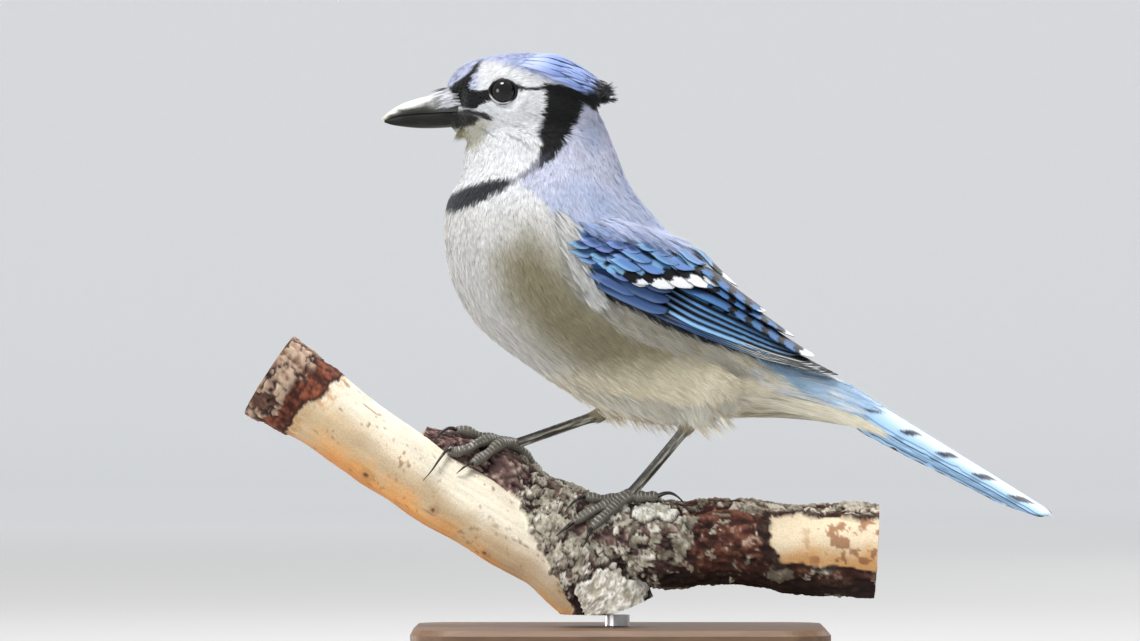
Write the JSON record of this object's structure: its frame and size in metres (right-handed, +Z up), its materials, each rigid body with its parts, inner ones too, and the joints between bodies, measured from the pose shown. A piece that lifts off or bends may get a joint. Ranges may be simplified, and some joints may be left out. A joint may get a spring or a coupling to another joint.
{
  "type": "life-size blue jay model",
  "caption": "Life-size crested blue jay gripping a short length of forked branch, held by a plain rod over a flat base.",
  "frame": {"origin": "middle of the model's box, on the floor under the stand's base", "axes": "+X from the bird's bill towards its tail, +Y to the bird's right, +Z up"},
  "size_m": [0.2906, 0.104, 0.2188],
  "materials": {
    "plumage_white": "soft white feathers with black lore and collar",
    "plumage_violet": "soft lilac blue feathers",
    "plumage_grey": "soft pale grey feathers, lilac on the back",
    "plumage_blue": "silky blue vanes with black bars and white tips",
    "bill": "smooth dark horn",
    "eye": "wet black",
    "leg": "dark scaly skin",
    "claw": "dark horn",
    "branch": "rough bark and bare pale wood",
    "rod": "brushed",
    "base": "satin dark wood"
  },
  "bodies": {
    "root": {"head": "plumage_white", "crest": "plumage_violet", "bill_upper": "bill", "bill_lower": "bill", "eye_left": "eye", "eye_right": "eye", "neck": "plumage_violet", "torso": "plumage_grey", "tail": "plumage_blue", "wing_left": "plumage_blue", "wing_right": "plumage_blue", "thigh_left": "plumage_grey", "thigh_right": "plumage_grey", "tarsus_left": "leg", "tarsus_right": "leg", "foot_left": "leg", "foot_right": "leg", "perch": "branch", "stand_rod": "rod", "stand_base": "base", "claw_left_inner": "claw", "claw_left_middle": "claw", "claw_left_outer": "claw", "claw_left_hind": "claw", "claw_right_inner": "claw", "claw_right_middle": "claw", "claw_right_outer": "claw", "claw_right_hind": "claw"}
  },
  "joints": []
}
